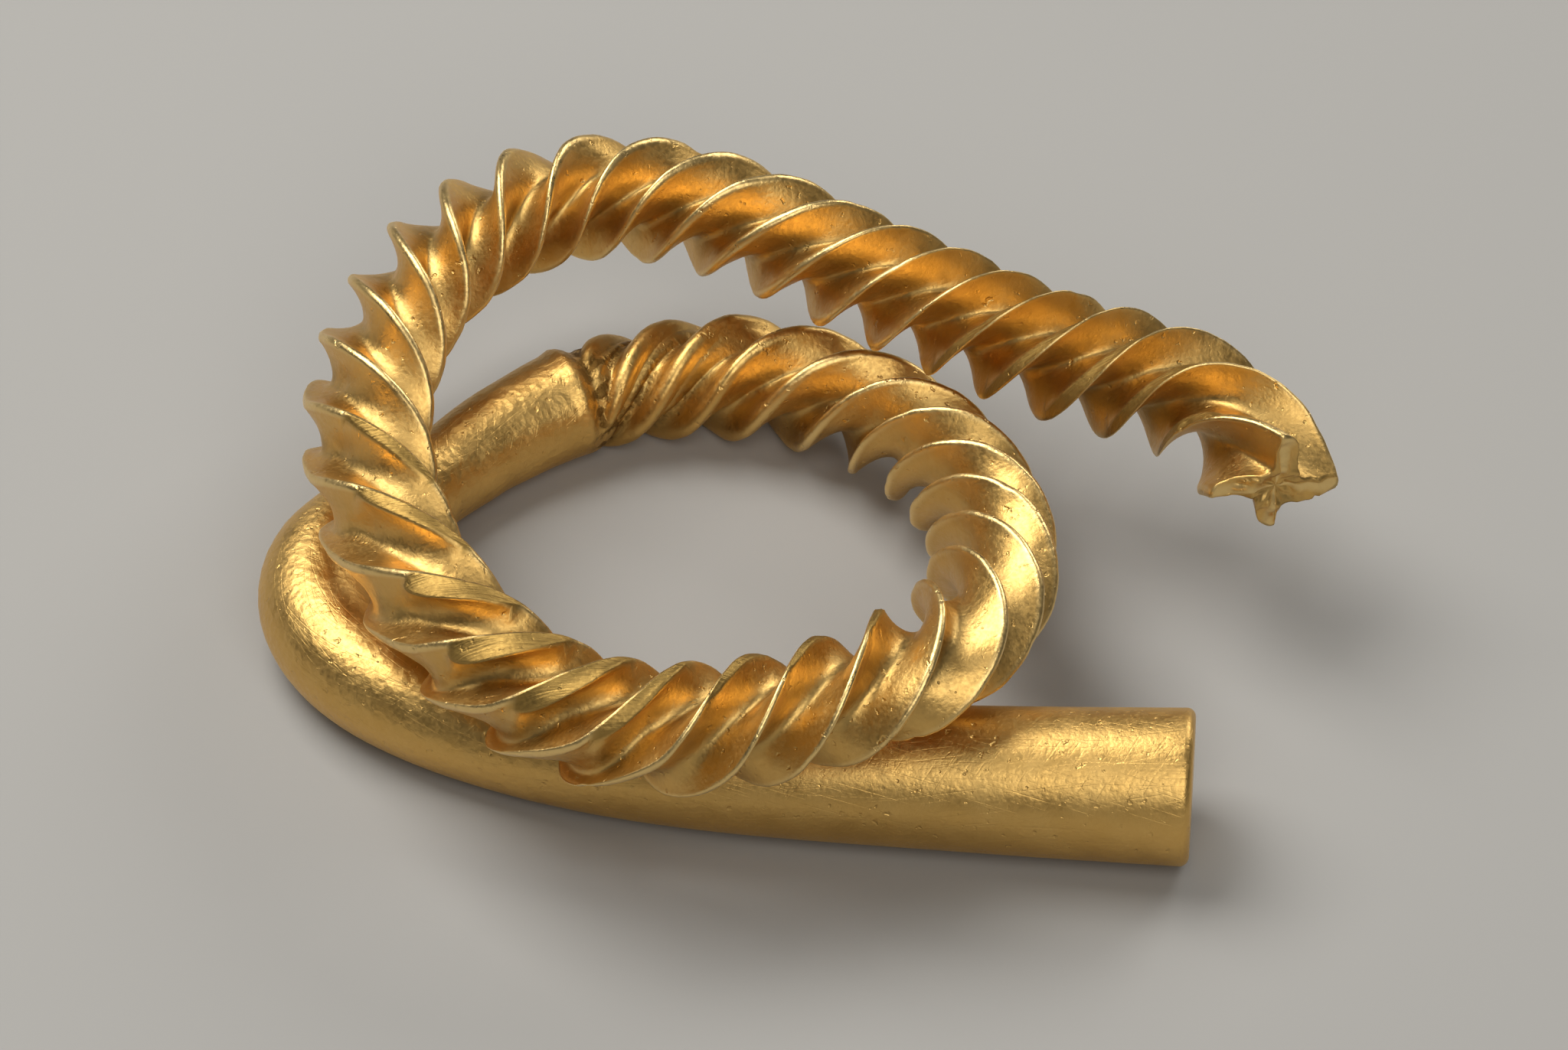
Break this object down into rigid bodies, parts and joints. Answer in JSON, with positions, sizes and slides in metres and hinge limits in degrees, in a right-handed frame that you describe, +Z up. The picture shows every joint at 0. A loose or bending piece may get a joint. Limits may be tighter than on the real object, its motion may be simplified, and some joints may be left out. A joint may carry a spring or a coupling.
{
  "type": "gold torc",
  "caption": "Coiled solid gold bar torc: a plain round terminal bends into a flanged shaft twisted like a screw, wound over itself and broken at one end.",
  "frame": {"origin": "on the surface the torc lies on, under the middle of its bounding box", "axes": "+X along the terminal rod towards its flat-cut end, +Z up through the coil, +Y away from the terminal rod towards the back of the coil"},
  "size_m": [0.0812, 0.0686, 0.0208],
  "materials": {
    "gold": null
  },
  "bodies": {
    "root": {"torc": "gold"}
  },
  "joints": []
}
